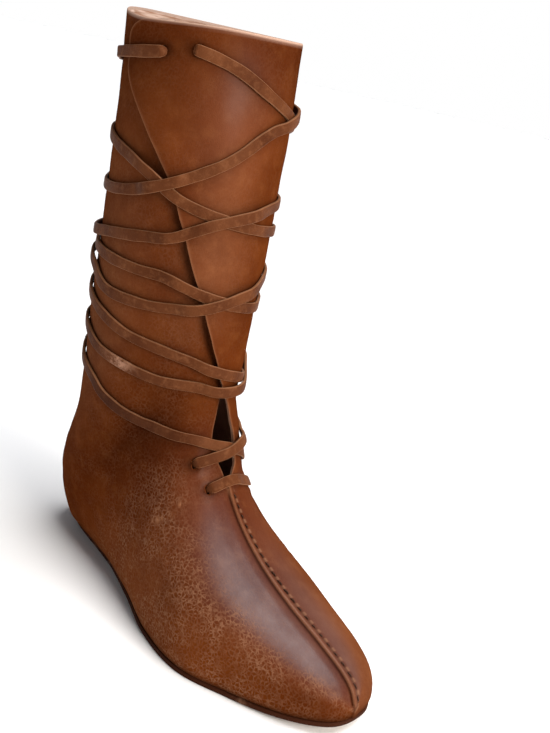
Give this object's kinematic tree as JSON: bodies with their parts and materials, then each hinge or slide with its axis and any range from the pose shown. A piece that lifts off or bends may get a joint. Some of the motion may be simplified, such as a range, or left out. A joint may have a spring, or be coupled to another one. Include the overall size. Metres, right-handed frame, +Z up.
{
  "type": "medieval boot",
  "caption": "Right-foot medieval turn-shoe boot: a hollow soft leather upper with a wrapped front flap, bound up the shaft with a flat thong, on a thin flat sole.",
  "frame": {"origin": "on the ground under the heel seat, 38 mm in front of the sole's back end", "axes": "+X to the toe, +Y to the medial (inner) side of the foot, +Z up the shaft"},
  "size_m": [0.2941, 0.1164, 0.372],
  "materials": {
    "upper_leather": "red-brown oiled grain leather with a soft sheen",
    "sole_leather": "matte sole leather with a pale cut edge",
    "insole_leather": "matte undyed leather",
    "thong_leather": "brown leather strip with a soft sheen"
  },
  "bodies": {
    "root": {"upper": "upper_leather", "outsole": "sole_leather", "insole": "insole_leather", "thong_over": "thong_leather", "thong_under": "thong_leather", "thong_lower_bar": "thong_leather"}
  },
  "joints": []
}
